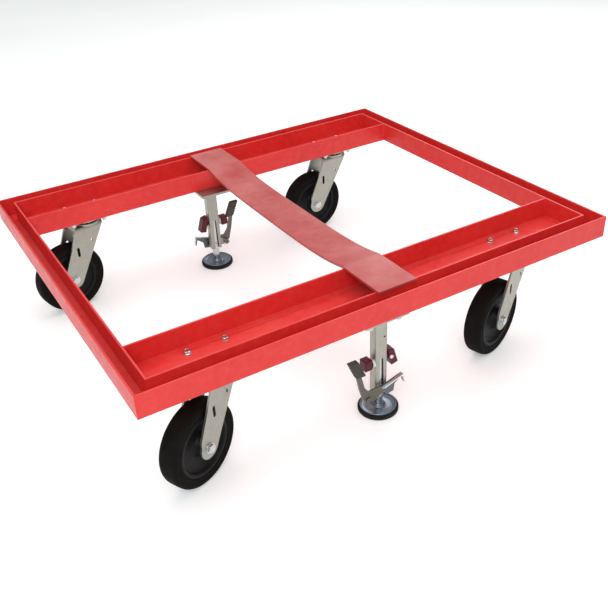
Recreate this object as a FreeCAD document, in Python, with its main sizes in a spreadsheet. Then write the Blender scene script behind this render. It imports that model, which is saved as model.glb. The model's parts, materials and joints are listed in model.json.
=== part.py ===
"""Wheeled frame dolly: a welded steel frame on four swivel casters, held still by two floor locks.

Millimetres. The origin is on the floor below the middle of the frame. +X runs along the long side, +Y to the back,
+Z up. Each caster and each floor lock is built about its own upright axis, then turned and moved to its place.
"""

import FreeCAD
import Part

import os
import re

import Sketcher

DOC = FreeCAD.newDocument("WheelDolly")
SHEET = DOC.addObject("Spreadsheet::Sheet", "Dimensions")

# Driving dimensions, in millimetres; heights are above the floor unless they are named as thicknesses.
DIMENSIONS = {
    # frame
    "frame_length": 1219.2,
    "frame_width": 1016,
    "frame_top": 320,
    "rail_depth": 54,
    "wall": 4.8,
    "trough_width": 36.5,
    "channel_width": 127,
    "strap_width": 101.6,
    "strap_thick": 6,
    "strap_front": 481,
    "strap_back": 470,
    "strap_sag": 19,
    # bolts and nuts that hold the caster plates and lock plates
    "caster_bolt_x": 42.5,
    "caster_bolt_y": 34.6,
    "bolt_radius": 4.75,
    "bolt_hole": 5.2,
    "bolt_flats": 14.3,
    "bolt_head": 6.2,
    "nut_height": 8,
    # swivel casters
    "caster_x": 406.4,
    "caster_y": 408,
    "plate_length": 114,
    "plate_width": 102,
    "plate_thick": 6,
    "plate_corner": 9,
    "boss_radius": 41,
    "boss_depth": 7,
    "race_gap": 7,
    "race_radius": 37,
    "race_step": 3,
    "crown_thick": 7,
    "ball_radius": 4.5,
    "ball_circle": 29,
    "running_gap": 0.05,
    "kingpin_radius": 8,
    "kingpin_head": 15,
    "kingpin_flats": 24,
    "kingpin_nut": 12,
    "swivel_lead": 81,
    "fork_width": 67,
    "leg_thick": 5,
    "leg_foot": 25,
    "leg_corner": 9,
    "slot_radius": 4,
    "slot_length": 20,
    "small_slot_radius": 2.8,
    "small_slot_length": 3.4,
    "wheel_radius": 97,
    "wheel_width": 47,
    "tyre_inner": 72,
    "tyre_shoulder": 10,
    "rim_inner": 61,
    "rim_width": 42,
    "web_width": 16,
    "hub_radius": 22,
    "hub_width": 56.8,
    "axle_radius": 6,
    "axle_flats": 19,
    "axle_head": 7,
    "axle_flange": 12.5,
    "flange_thick": 2,
    # floor locks
    "lock_plate_left": 58.4,
    "lock_plate_right": 55.6,
    "lock_plate_front": 36,
    "lock_plate_back": 77.4,
    "lock_bolt_x": 38,
    "lock_bolt_front": 22,
    "lock_bolt_back": 18,
    "lock_plate_thick": 7,
    "tube_width": 33,
    "tube_depth": 27,
    "tube_corner": 6,
    "tube_bore": 11.8,
    "tube_bottom": 56,
    "notch_top": 150,
    "notch_wide": 7,
    "notch_narrow": 4,
    "tube_hole": 2.5,
    "tube_hole_x": 7,
    "tube_hole_height": 207,
    "bush_bottom": 152,
    "bush_length": 34,
    "plunger_radius": 10.2,
    "plunger_top": 196,
    "plunger_bottom": 10,
    "spring_radius": 8.6,
    "spring_wire": 1.25,
    "foot_radius": 47.8,
    "pad_top": 12,
    "cup_radius": 43,
    "cup_floor": 7,
    "cup_sheet": 3,
    "cup_top": 15,
    "socket_radius": 13.5,
    "socket_top": 19,
    "pivot_x": 42,
    "pivot_z": 58,
    "drive_z": 73,
    "pin_radius": 4,
    "pin_head": 5.5,
    "pin_front": 24,
    "drive_slack": 0.45,
    "slot_run": 7.16,
    "slot_rise": 2.56,
    "ear_thick": 3,
    "ear_radius": 8,
    "boss_length": 11,
    "arm_inner": 17,
    "arm_thick": 4.5,
    "step_width": 10.5,
    "pedal_reach": 28,
    "pedal_width": 13,
    "pedal_thick": 24,
    "pedal_height": 44,
    "pedal_lean": 19,
    "pedal_x": 53,
    "pedal_z": 134,
    "rib_depth": 2,
    "block_width": 24,
    "stub_width": 12,
}

# Where each caster stands, as signs of X and Y, and the way its wheel trails at rest, in degrees from +X.
CASTERS = {
    "front_left": (-1, -1, 24.7),
    "front_right": (1, -1, 18.1),
    "rear_left": (-1, 1, 11.1),
    "rear_right": (1, 1, 2.3),
}

# The floor locks' upright axes and how far each lock is turned about its own.
LOCKS = {"front": (-40.6, -467.4, 0), "rear": (-40.6, 378.5, 180)}

BALLS_PER_RACE = 14
STRAP_STEPS = 12
SPRING_TURNS = 9
PEDAL_RIBS = 6
UP = FreeCAD.Vector(0, 0, 1)
ALONG_X = FreeCAD.Rotation(FreeCAD.Vector(0, 1, 0), 90)
ALONG_Y = FreeCAD.Rotation(FreeCAD.Vector(1, 0, 0), -90)

NODES = []


# ---------------------------------------------------------------- sheet and small helpers

def fill_sheet():
    for row, (alias, value) in enumerate(DIMENSIONS.items(), start=1):
        SHEET.set(f"A{row}", alias)
        SHEET.set(f"B{row}", str(value))
        SHEET.setAlias(f"B{row}", alias)
    DOC.recompute()


def bound(text):
    """An expression in the sheet's aliases, such as 'frame_length / 2', as FreeCAD reads it."""
    def full_name(match):
        word = match.group(0)
        return "Dimensions." + word if word in DIMENSIONS else word

    return re.sub(r"[a-z_]+", full_name, str(text))


def bind(obj, **settings):
    for name, text in settings.items():
        obj.setExpression(name, bound(text))
    return obj


def place(obj, x="0", y="0", z="0", rotation=None):
    if rotation is not None:
        obj.Placement.Rotation = rotation
    for axis, text in zip("xyz", (x, y, z)):
        obj.setExpression("Placement.Base." + axis, bound(text))
    return obj


def node(obj, name):
    """Name a finished piece; its name is also its file's name."""
    obj.Label = name
    NODES.append(obj)
    return obj


def box(length, width, height, x, y, z):
    """A block whose lowest corner is at x, y, z."""
    obj = DOC.addObject("Part::Box", "Block")
    return place(bind(obj, Length=length, Width=width, Height=height), x, y, z)


def middle_box(length, width, height, x, y, z):
    """A block centred on x and y, standing on z."""
    return box(length, width, height, f"{x} - ({length}) / 2", f"{y} - ({width}) / 2", z)


def upright(radius, height, x="0", y="0", z="0"):
    """A round bar along Z, standing on z."""
    obj = DOC.addObject("Part::Cylinder", "Round")
    return place(bind(obj, Radius=radius, Height=height), x, y, z)


def crosswise(radius, length, x, y, z):
    """A round bar along Y that starts at y."""
    obj = DOC.addObject("Part::Cylinder", "Cross")
    return place(bind(obj, Radius=radius, Height=length), x, y, z, ALONG_Y)


def middle_cross(radius, length, x, z):
    """A round bar along Y, centred on Y = 0."""
    return crosswise(radius, length, x, f"-({length}) / 2", z)


def cross_slot(radius, straight, x, z):
    """An upright slot with round ends, cut along Y through both legs of a fork."""
    width = "fork_width + 4"
    low = f"{z} - {straight} / 2"
    return fuse(
        middle_cross(radius, width, x, low),
        middle_cross(radius, width, x, f"{z} + {straight} / 2"),
        middle_box(f"2 * {radius}", width, straight, x, "0", low),
    )


def hexagon(flats, height, x="0", y="0", z="0", rotation=None):
    """A hexagonal prism, such as a bolt's head, by its width across flats."""
    obj = DOC.addObject("Part::Prism", "Hexagon")
    bind(obj, Circumradius=f"({flats}) / sqrt(3)", Height=height)
    return place(obj, x, y, z, rotation)


def ring(radius, tube, x="0", y="0", z="0", rotation=None):
    obj = DOC.addObject("Part::Torus", "Ring")
    return place(bind(obj, Radius1=radius, Radius2=tube), x, y, z, rotation)


def fuse(*shapes):
    obj = DOC.addObject("Part::MultiFuse", "Joined")
    obj.Shapes = list(shapes)
    obj.Refine = True
    return obj


def cut(base, *tools):
    obj = DOC.addObject("Part::Cut", "Trimmed")
    obj.Base = base
    obj.Tool = tools[0] if len(tools) == 1 else fuse(*tools)
    obj.Refine = True
    return obj


def common(*shapes):
    obj = DOC.addObject("Part::MultiCommon", "Shared")
    obj.Shapes = list(shapes)
    return obj


def copies(shape, spots):
    """The same piece at each of several (x, y) spots, as separate solids of one object."""
    parts = []
    for x, y in spots:
        part = DOC.addObject("Part::Compound", "Copy")
        part.Links = [shape]
        parts.append(place(part, x, y))
    return group(parts)


def group(shapes):
    obj = DOC.addObject("Part::Compound", "Group")
    obj.Links = shapes
    return obj


def rounded_block(length, width, height, corner, x, y, z):
    """A block centred on x and y, standing on z, with its four upright edges rounded."""
    shapes = [
        middle_box(length, f"{width} - 2 * {corner}", height, x, y, z),
        middle_box(f"{length} - 2 * {corner}", width, height, x, y, z),
    ]
    for side_x in (-1, 1):
        for side_y in (-1, 1):
            corner_x = f"{x} + {side_x} * (({length}) / 2 - {corner})"
            corner_y = f"{y} + {side_y} * (({width}) / 2 - {corner})"
            shapes.append(upright(corner, height, corner_x, corner_y, z))
    return fuse(*shapes)


def profile(name, role, corners, length, reverse=False, symmetric=False):
    """A straight-sided outline on one origin plane of its own body, padded to a length."""
    body = DOC.addObject("PartDesign::Body", name)
    outline = body.newObject("Sketcher::SketchObject", "Outline")
    plane = next(item for item in body.Origin.OriginFeatures if item.Role == role)
    outline.AttachmentSupport = [(plane, "")]
    outline.MapMode = "FlatFace"
    values = [[float(outline.evalExpression(bound(text))) for text in corner] for corner in corners]
    count = len(corners)
    for k in range(count):
        start = FreeCAD.Vector(values[k][0], values[k][1], 0)
        end = FreeCAD.Vector(values[(k + 1) % count][0], values[(k + 1) % count][1], 0)
        outline.addGeometry(Part.LineSegment(start, end), False)
    for k in range(count):
        outline.addConstraint(Sketcher.Constraint("Coincident", k, 2, (k + 1) % count, 1))
    for k in range(count):
        for direction, text, value in zip(("DistanceX", "DistanceY"), corners[k], values[k]):
            index = outline.addConstraint(Sketcher.Constraint(direction, -1, 1, k, 1, value))
            outline.setExpression(f"Constraints[{index}]", bound(text))
    pad = body.newObject("PartDesign::Pad", "Pad")
    pad.Profile = outline
    pad.Reversed = reverse
    pad.SideType = "Symmetric" if symmetric else "One side"
    pad.setExpression("Length", bound(length))
    return body


# ---------------------------------------------------------------- frame

RAIL_FLOOR = "frame_top - rail_depth"
CHANNEL_OUTER = "frame_width / 2 - trough_width"
CHANNEL_END = "frame_length / 2 - trough_width - wall"


def mitre_tools():
    """Two upright wedges over the whole frame that keep the front rail's side of its two mitres."""
    half_x = "frame_length / 2"
    half_y = "frame_width / 2"
    corners = [
        (f"-{half_x}", f"-{half_y}"),
        (half_x, f"-{half_y}"),
        (f"{half_x} - 100", f"-{half_y} + 100"),
        (f"-{half_x} + 100", f"-{half_y} + 100"),
    ]
    keep_front = profile("FrontMitre", "XY_Plane", corners, "frame_top")
    corners = [
        (f"-{half_x}", f"-{half_y}"),
        (f"-{half_x}", half_y),
        (f"-{half_x} + 100", f"{half_y} - 100"),
        (f"-{half_x} + 100", f"-{half_y} + 100"),
    ]
    keep_left = profile("LeftMitre", "XY_Plane", corners, "frame_top")
    return keep_front, keep_left


def caster_bolt_spots():
    return [
        (f"{sx} * caster_x + {bx} * caster_bolt_x", f"{sy} * caster_y + {by} * caster_bolt_y")
        for sx, sy, _ in CASTERS.values()
        for bx in (-1, 1)
        for by in (-1, 1)
    ]


def lock_bolt_spots():
    spots = []
    for x, y, turn in LOCKS.values():
        flip = -1 if turn else 1
        for side in (-1, 1):
            spots.append((f"{x} + {side} * lock_bolt_x", f"{y} - {flip} * lock_bolt_front"))
            spots.append((f"{x} + {side} * lock_bolt_x", f"{y} + {flip} * lock_bolt_back"))
    return spots


def build_frame():
    holes = copies(upright("bolt_hole", "frame_top"), caster_bolt_spots() + lock_bolt_spots())
    keep_front, keep_left = mitre_tools()

    angle = fuse(
        middle_box("frame_length", "wall", "rail_depth", "0", "-frame_width / 2 + wall / 2", RAIL_FLOOR),
        middle_box("frame_length", "trough_width", "wall", "0", "-frame_width / 2 + trough_width / 2", RAIL_FLOOR),
    )
    front_blank = common(angle, keep_front)
    front = node(cut(front_blank, holes), "front_rail")
    rear_blank = DOC.addObject("Part::Compound", "RearBlank")
    rear_blank.Links = [front_blank]
    rear_blank.Placement.Rotation = FreeCAD.Rotation(UP, 180)
    node(cut(rear_blank, holes), "rear_rail")

    outer = fuse(
        middle_box("wall", "frame_width", "rail_depth", "-frame_length / 2 + wall / 2", "0", RAIL_FLOOR),
        middle_box("trough_width", "frame_width", "wall", "-frame_length / 2 + trough_width / 2", "0", RAIL_FLOOR),
    )
    inner_wall = box(
        "wall",
        f"2 * ({CHANNEL_OUTER})",
        "rail_depth",
        "-frame_length / 2 + trough_width",
        f"-({CHANNEL_OUTER})",
        RAIL_FLOOR,
    )
    left = node(fuse(common(outer, keep_left), inner_wall), "left_rail")
    right = DOC.addObject("Part::Compound", "Right")
    right.Links = [left]
    right.Placement.Rotation = FreeCAD.Rotation(UP, 180)
    node(right, "right_rail")

    near = f"-({CHANNEL_OUTER})"
    far = f"-({CHANNEL_OUTER}) + channel_width"
    section = [
        (near, RAIL_FLOOR),
        (far, RAIL_FLOOR),
        (far, "frame_top"),
        (f"{far} - wall", "frame_top"),
        (f"{far} - wall", f"{RAIL_FLOOR} + wall"),
        (f"{near} + wall", f"{RAIL_FLOOR} + wall"),
        (f"{near} + wall", "frame_top"),
        (near, "frame_top"),
    ]
    channel = profile("Channel", "YZ_Plane", section, f"2 * ({CHANNEL_END})", symmetric=True)
    node(cut(channel, holes), "front_channel")
    rear_channel = DOC.addObject("Part::Compound", "RearChannel")
    rear_channel.Links = [channel]
    rear_channel.Placement.Rotation = FreeCAD.Rotation(UP, 180)
    node(cut(rear_channel, holes), "rear_channel")

    build_strap()


def build_strap():
    """A flat bar lying on both channels' flanges and sagging smoothly between them."""
    inner = f"({CHANNEL_OUTER} - channel_width)"
    line = [("-strap_front", "frame_top")]
    for k in range(-STRAP_STEPS, STRAP_STEPS + 1):
        share = f"({abs(k)} / {STRAP_STEPS})"
        line.append((f"{inner} * {k} / {STRAP_STEPS}", f"frame_top - strap_sag * (1 - {share} ^ 4)"))
    line.append(("strap_back", "frame_top"))
    upper = [(y, f"{z} + strap_thick") for y, z in reversed(line)]
    node(profile("Strap", "YZ_Plane", line + upper, "strap_width", symmetric=True), "centre_strap")


def bolt_and_nut(plate):
    """A bolt that stands on the rail's floor and passes a plate below it, and its nut."""
    seat = f"{RAIL_FLOOR} + wall"
    plate_bottom = f"{RAIL_FLOOR} - {plate}"
    bolt = fuse(
        hexagon("bolt_flats", "bolt_head", z=seat),
        upright("bolt_radius", f"wall + {plate} + nut_height + 3", z=f"{plate_bottom} - nut_height - 3"),
    )
    nut = cut(
        hexagon("bolt_flats", "nut_height", z=f"{plate_bottom} - nut_height"),
        upright("bolt_radius", "nut_height + 4", z=f"{plate_bottom} - nut_height - 2"),
    )
    return bolt, nut


def build_plate_fasteners():
    caster_bolt, caster_nut = bolt_and_nut("plate_thick")
    lock_bolt, lock_nut = bolt_and_nut("lock_plate_thick")
    at_casters = caster_bolt_spots()
    at_locks = lock_bolt_spots()
    node(group([copies(caster_bolt, at_casters), copies(lock_bolt, at_locks)]), "plate_bolts")
    node(group([copies(caster_nut, at_casters), copies(lock_nut, at_locks)]), "plate_nuts")


# ---------------------------------------------------------------- casters, about the swivel axis, wheel to -X

BOSS_TOP = "frame_top - rail_depth - plate_thick"
BOSS_BOTTOM = f"{BOSS_TOP} - boss_depth"
RACE_TOP = f"{BOSS_BOTTOM} - race_gap"
CROWN_TOP = f"{RACE_TOP} - race_step"
CROWN_BOTTOM = f"{CROWN_TOP} - crown_thick"
BALL_HEIGHT = f"{BOSS_BOTTOM} - race_gap / 2"


def caster_plate():
    blank = fuse(
        rounded_block("plate_length", "plate_width", "plate_thick", "plate_corner", "0", "0", BOSS_TOP),
        upright("boss_radius", "boss_depth", z=BOSS_BOTTOM),
    )
    bolt = upright("bolt_hole", "plate_thick + 4", z=f"{BOSS_TOP} - 2")
    spots = [(f"{sx} * caster_bolt_x", f"{sy} * caster_bolt_y") for sx in (-1, 1) for sy in (-1, 1)]
    groove = ring("ball_circle", "ball_radius + running_gap", z=BALL_HEIGHT)
    relief = copies(upright("bolt_flats / 2 + 2.5", "boss_depth + 2", z=f"{BOSS_BOTTOM} - 2"), spots)
    return cut(blank, kingpin_shape(), copies(bolt, spots), groove, relief)


def kingpin_shape():
    """A countersunk pin, flush with the plate and held there, with its thread below the crown."""
    head = DOC.addObject("Part::Cone", "Head")
    bind(head, Radius1="kingpin_radius", Radius2="kingpin_head", Height="plate_thick")
    place(head, z=BOSS_TOP)
    foot = f"{CROWN_BOTTOM} - kingpin_nut - 4"
    return fuse(head, upright("kingpin_radius", f"({BOSS_TOP}) - ({foot}) + 2", z=foot))


def kingpin_nut_shape():
    bottom = f"{CROWN_BOTTOM} - kingpin_nut - 0.1"
    return cut(
        hexagon("kingpin_flats", "kingpin_nut", z=bottom),
        upright("kingpin_radius", "kingpin_nut + 4", z=f"{bottom} - 2"),
    )


def ball_set():
    balls = []
    for k in range(BALLS_PER_RACE):
        ball = bind(DOC.addObject("Part::Sphere", "Ball"), Radius="ball_radius")
        angle = f"{k} * 360 deg / {BALLS_PER_RACE}"
        balls.append(place(ball, f"ball_circle * cos({angle})", f"ball_circle * sin({angle})", BALL_HEIGHT))
    return group(balls)


def fork_shape():
    """A pressed fork: two leaning legs below a crown, bent from one sheet, with the lower ball race on top."""
    leg_outline = [
        ("-swivel_lead - leg_foot + 2", "wheel_radius"),
        ("-swivel_lead - leg_foot + 3", "wheel_radius + 27"),
        ("-swivel_lead + 8", "wheel_radius + 91"),
        ("-swivel_lead + 31", CROWN_TOP),
        ("33", CROWN_TOP),
        ("-swivel_lead + 0.87 * leg_foot", "wheel_radius - 0.5 * leg_foot"),
    ]
    side = profile("ForkSide", "XZ_Plane", leg_outline, "fork_width", symmetric=True)
    solid = fuse(
        side,
        middle_cross("leg_foot", "fork_width", "-swivel_lead", "wheel_radius"),
        upright("fork_width / 2 + 8", "crown_thick", z=CROWN_BOTTOM),
    )
    bend = "leg_corner"
    shell = fuse(
        middle_box("400", "fork_width", f"({CROWN_TOP}) - {bend}", "0", "0", "0"),
        middle_box("400", f"fork_width - 2 * {bend}", CROWN_TOP, "0", "0", "0"),
        *[
            place(
                bind(DOC.addObject("Part::Cylinder", "Bend"), Radius=bend, Height="400"),
                "-200",
                f"{side_y} * (fork_width / 2 - {bend})",
                f"{CROWN_TOP} - {bend}",
                ALONG_X,
            )
            for side_y in (-1, 1)
        ],
    )
    body = fuse(common(solid, shell), upright("race_radius", f"race_step + {bend} / 3", z=f"{CROWN_TOP} - {bend} / 3"))
    inner_width = "fork_width - 2 * leg_thick"
    inner_bend = "leg_corner - leg_thick + 1"
    inside = fuse(
        middle_box("400", inner_width, f"({CROWN_BOTTOM}) - {inner_bend}", "0", "0", "0"),
        middle_box("400", f"{inner_width} - 2 * ({inner_bend})", CROWN_BOTTOM, "0", "0", "0"),
        *[
            place(
                bind(DOC.addObject("Part::Cylinder", "InnerBend"), Radius=inner_bend, Height="400"),
                "-200",
                f"{side_y} * (({inner_width}) / 2 - ({inner_bend}))",
                f"{CROWN_BOTTOM} - ({inner_bend})",
                ALONG_X,
            )
            for side_y in (-1, 1)
        ],
    )
    return cut(
        body,
        inside,
        cross_slot("slot_radius", "slot_length", "-swivel_lead + 26", "wheel_radius + 78"),
        cross_slot("small_slot_radius", "small_slot_length", "-swivel_lead + 71", "wheel_radius + 101"),
        middle_cross("axle_radius + running_gap", "fork_width + 4", "-swivel_lead", "wheel_radius"),
        upright("kingpin_radius + running_gap", "60", z=f"{CROWN_BOTTOM} - 5"),
        ring("ball_circle", "ball_radius + running_gap", z=BALL_HEIGHT),
    )


def axle_bolt_shape():
    face = "-fork_width / 2"
    height = "wheel_radius"
    grip = "fork_width + 16"
    return fuse(
        hexagon("axle_flats", "axle_head", "-swivel_lead", f"{face} - axle_head - flange_thick", height, ALONG_Y),
        crosswise("axle_flange", "flange_thick", "-swivel_lead", f"{face} - flange_thick", height),
        crosswise("axle_radius", grip, "-swivel_lead", face, height),
    )


def axle_nut_shape():
    face = "fork_width / 2"
    return cut(
        fuse(
            crosswise("axle_flange", "flange_thick", "-swivel_lead", face, "wheel_radius"),
            hexagon("axle_flats", "axle_head + 4", "-swivel_lead", face, "wheel_radius", ALONG_Y),
        ),
        crosswise("axle_radius", "30", "-swivel_lead", f"{face} - 2", "wheel_radius"),
    )


def wheel_disc(radius, width):
    return middle_cross(radius, width, "-swivel_lead", "wheel_radius")


def wheel_core_shape():
    groove = cut(wheel_disc("rim_inner", "rim_width + 2"), wheel_disc("hub_radius", "rim_width + 4"))
    rim = cut(wheel_disc("tyre_inner", "rim_width"), groove)
    return cut(
        fuse(rim, wheel_disc("rim_inner + 1", "web_width"), wheel_disc("hub_radius", "hub_width")),
        wheel_disc("axle_radius + running_gap", "hub_width + 4"),
    )


def tyre_shape():
    shoulders = [
        ring(
            "wheel_radius - tyre_shoulder",
            "tyre_shoulder",
            "-swivel_lead",
            f"{side} * (wheel_width / 2 - tyre_shoulder)",
            "wheel_radius",
            ALONG_Y,
        )
        for side in (-1, 1)
    ]
    solid = fuse(
        wheel_disc("wheel_radius - tyre_shoulder", "wheel_width"),
        wheel_disc("wheel_radius", "wheel_width - 2 * tyre_shoulder"),
        *shoulders,
    )
    return cut(solid, wheel_disc("tyre_inner", "wheel_width + 4"))


def build_casters():
    pieces = {
        "plate": caster_plate(),
        "balls": ball_set(),
        "fork": fork_shape(),
        "axle_bolt": axle_bolt_shape(),
        "axle_nut": axle_nut_shape(),
        "wheel_core": wheel_core_shape(),
        "tyre": tyre_shape(),
    }
    upright_pieces = {"plate"}
    for corner, (side_x, side_y, trail) in CASTERS.items():
        for piece, shape in pieces.items():
            copy = DOC.addObject("Part::Compound", "Caster")
            copy.Links = [shape]
            turn = 0 if piece in upright_pieces else trail
            place(copy, f"{side_x} * caster_x", f"{side_y} * caster_y", "0", FreeCAD.Rotation(UP, turn))
            node(copy, f"{corner}_{piece}")
    corners = [(f"{sx} * caster_x", f"{sy} * caster_y") for sx, sy, _ in CASTERS.values()]
    node(copies(kingpin_shape(), corners), "kingpins")
    node(copies(kingpin_nut_shape(), corners), "kingpin_nuts")


# ---------------------------------------------------------------- floor locks, about the plunger's axis

LOCK_PLATE_BOTTOM = "frame_top - rail_depth - lock_plate_thick"
ARM_MIDDLE = "-arm_inner - arm_thick / 2"


def lock_plate_shape():
    blank = box(
        "lock_plate_left + lock_plate_right",
        "lock_plate_front + lock_plate_back",
        "lock_plate_thick",
        "-lock_plate_left",
        "-lock_plate_front",
        LOCK_PLATE_BOTTOM,
    )
    hole = upright("bolt_hole", "lock_plate_thick + 4", z=f"{LOCK_PLATE_BOTTOM} - 2")
    spots = [(f"{side} * lock_bolt_x", y) for side in (-1, 1) for y in ("-lock_bolt_front", "lock_bolt_back")]
    return cut(blank, copies(hole, spots))


def lock_tube_shape():
    """The housing tube, bored for the plunger, with the rocker's ear and its boss welded to its foot."""
    height = f"({LOCK_PLATE_BOTTOM}) - tube_bottom"
    tube = rounded_block("tube_width", "tube_depth", height, "tube_corner", "0", "0", "tube_bottom")
    ear_outline = [
        ("-pivot_x - ear_radius * 0.7", "pivot_z + ear_radius * 0.7"),
        ("-pivot_x + ear_radius * 0.3", "pivot_z - ear_radius * 0.95"),
        ("-notch_wide - 1", "tube_bottom + 2"),
        ("-notch_wide - 1", "tube_bottom + 24"),
        ("-tube_width / 2 + 4", "tube_bottom + 22"),
    ]
    ear_front = "tube_depth / 2 + ear_thick"
    ear = profile("Ear", "XZ_Plane", ear_outline, "ear_thick", symmetric=True)
    place(ear, y="-(tube_depth + ear_thick) / 2")
    pivot_boss = crosswise("ear_radius", "boss_length", "-pivot_x", f"-({ear_front})", "pivot_z")
    notch_outline = [
        ("-notch_wide", "tube_bottom - 2"),
        ("notch_wide", "tube_bottom - 2"),
        ("notch_narrow", "notch_top"),
        ("-notch_narrow", "notch_top"),
    ]
    notch = profile("Notch", "XZ_Plane", notch_outline, "tube_depth + 20", symmetric=True)
    return cut(
        fuse(tube, ear, pivot_boss),
        upright("tube_bore", "300", z="0"),
        notch,
        crosswise("tube_hole", "tube_depth", "tube_hole_x", "-tube_depth", "tube_hole_height"),
        middle_cross("pin_radius", "100", "-pivot_x", "pivot_z"),
    )


def lock_bush_shape():
    return cut(
        upright("tube_bore", "bush_length", z="bush_bottom"),
        upright("plunger_radius + running_gap", "bush_length + 4", z="bush_bottom - 2"),
    )


def drive_pin_shape():
    """The pin across the plunger, ending just inside the arm's front face and level with the plunger's back."""
    front = "arm_inner + arm_thick - 0.3"
    return crosswise("pin_radius", f"{front} + plunger_radius", "0", f"-({front})", "drive_z")


def plunger_shape():
    return cut(upright("plunger_radius", "plunger_top - plunger_bottom", z="plunger_bottom"), drive_pin_shape())


def foot_cup_shape():
    dish = cut(
        upright("cup_radius", "cup_top - cup_floor", z="cup_floor"),
        upright("cup_radius - cup_sheet", "cup_top", z="cup_floor + cup_sheet"),
    )
    socket = upright("socket_radius", "socket_top - cup_floor", z="cup_floor")
    return cut(fuse(dish, socket), upright("plunger_radius", "60", z="plunger_bottom"))


def foot_pad_shape():
    return cut(upright("foot_radius", "pad_top"), upright("cup_radius", "pad_top", z="cup_floor"))


def spring_shape():
    """A return spring hung between the mounting plate and the plunger's top."""
    height = f"({LOCK_PLATE_BOTTOM}) - plunger_top - 2 * spring_wire"
    helix = DOC.addObject("Part::Helix", "Coil")
    bind(helix, Radius="spring_radius", Height=height, Pitch=f"({height}) / {SPRING_TURNS}")
    place(helix, z="plunger_top + spring_wire")
    wire = bind(DOC.addObject("Part::Circle", "Wire"), Radius="spring_wire")
    rotation = FreeCAD.Rotation(FreeCAD.Vector(1, 0, 0), 90)
    place(wire, "spring_radius", "0", "plunger_top + spring_wire", rotation)
    coil = DOC.addObject("Part::Sweep", "Spring")
    coil.Sections = [wire]
    coil.Spine = (helix, [])
    coil.Solid = True
    coil.Frenet = True
    return coil


def arm_blank():
    """The arm's plate: up to the pedal on the left, under the drive pin, and up to the step on the right."""
    outline = [
        ("-pedal_x - 29", "pedal_z + 26"),
        ("-pedal_x - 21", "pedal_z - 1"),
        ("-pivot_x - 25", "pivot_z + 40"),
        ("-pivot_x - 15", "pivot_z + 4"),
        ("-pivot_x - 6", "pivot_z - 8"),
        ("-pivot_x + 6", "pivot_z - 11"),
        ("-pivot_x + 20", "pivot_z - 8"),
        ("2", "drive_z - 11"),
        ("8", "drive_z - 23"),
        ("28", "drive_z - 20"),
        ("31", "drive_z - 1"),
        ("50", "drive_z + 13"),
        ("51", "drive_z + 20"),
        ("0", "drive_z + 7"),
        ("-18", "drive_z + 7"),
        ("-pivot_x + 2", "pivot_z + 21"),
        ("-pivot_x - 10", "pivot_z + 37"),
        ("-pedal_x - 7", "pedal_z - 7"),
        ("-pedal_x - 15", "pedal_z + 26"),
    ]
    return place(profile("Arm", "XZ_Plane", outline, "arm_thick", symmetric=True), y=ARM_MIDDLE)


def drive_slot_shape():
    """The slot in which the drive pin crosses the arm as the arm turns and the pin goes straight up."""
    radius = "(pin_radius + drive_slack)"
    length = "sqrt(slot_run ^ 2 + slot_rise ^ 2)"
    across_x = f"(slot_rise / {length})"
    across_z = f"(slot_run / {length})"
    ends = []
    for run in ("0", "1"):
        x = f"slot_run * {run} - 0.2 * {across_x} * drive_slack"
        z = f"drive_z + slot_rise * {run} + 0.6 * {across_z} * drive_slack"
        ends.append((x, z))
    outline = [
        (f"{ends[0][0]} + {across_x} * {radius}", f"{ends[0][1]} - {across_z} * {radius}"),
        (f"{ends[1][0]} + {across_x} * {radius}", f"{ends[1][1]} - {across_z} * {radius}"),
        (f"{ends[1][0]} - {across_x} * {radius}", f"{ends[1][1]} + {across_z} * {radius}"),
        (f"{ends[0][0]} - {across_x} * {radius}", f"{ends[0][1]} + {across_z} * {radius}"),
    ]
    slot = fuse(
        profile("DriveSlot", "XZ_Plane", outline, "arm_thick", symmetric=True),
        *[middle_cross(radius, "arm_thick", x, z) for x, z in ends],
    )
    return slot


def rocker_shape():
    """One arm in front of the tube, with a step folded forward along its right-hand end."""
    slot = place(group([drive_slot_shape()]), y=ARM_MIDDLE)
    pivot_hole = middle_cross("pin_radius + running_gap", "100", "-pivot_x", "pivot_z")
    step_outline = [
        ("-2", "drive_z + 5.5"),
        ("51", "drive_z + 21.5"),
        ("58", "drive_z - 3"),
        ("54.5", "drive_z - 4"),
        ("48.5", "drive_z + 17"),
        ("-1", "drive_z + 2"),
    ]
    step = profile("Step", "XZ_Plane", step_outline, "step_width", symmetric=True)
    place(step, y="-arm_inner - step_width / 2")
    return cut(fuse(arm_blank(), step), slot, pivot_hole)


def pedal_pad_shape():
    """The ribbed pad pushed over the arm's upper end, with its ribs on the left-hand face."""
    outline = [("-pedal_x", "pedal_z"), ("-pedal_x - pedal_lean", "pedal_z + pedal_height")]
    outline.append(("-pedal_x - pedal_lean - pedal_thick", "pedal_z + pedal_height"))
    for k in range(PEDAL_RIBS):
        top = f"(1 - {k} / {PEDAL_RIBS})"
        valley = f"(1 - ({k} + 0.55) / {PEDAL_RIBS})"
        low = f"(1 - ({k} + 0.7) / {PEDAL_RIBS})"
        face = "-pedal_x - pedal_thick"
        if k:
            outline.append((f"{face} - pedal_lean * {top}", f"pedal_z + pedal_height * {top}"))
        outline.append((f"{face} - pedal_lean * {valley}", f"pedal_z + pedal_height * {valley}"))
        outline.append((f"{face} + rib_depth - pedal_lean * {valley}", f"pedal_z + pedal_height * {valley}"))
        outline.append((f"{face} + rib_depth - pedal_lean * {low}", f"pedal_z + pedal_height * {low}"))
    outline.append(("-pedal_x - pedal_thick", "pedal_z"))
    pad = profile("Pedal", "XZ_Plane", outline, "pedal_width", symmetric=True)
    place(pad, y="-pedal_reach + pedal_width / 2")
    return cut(pad, arm_blank())


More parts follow.
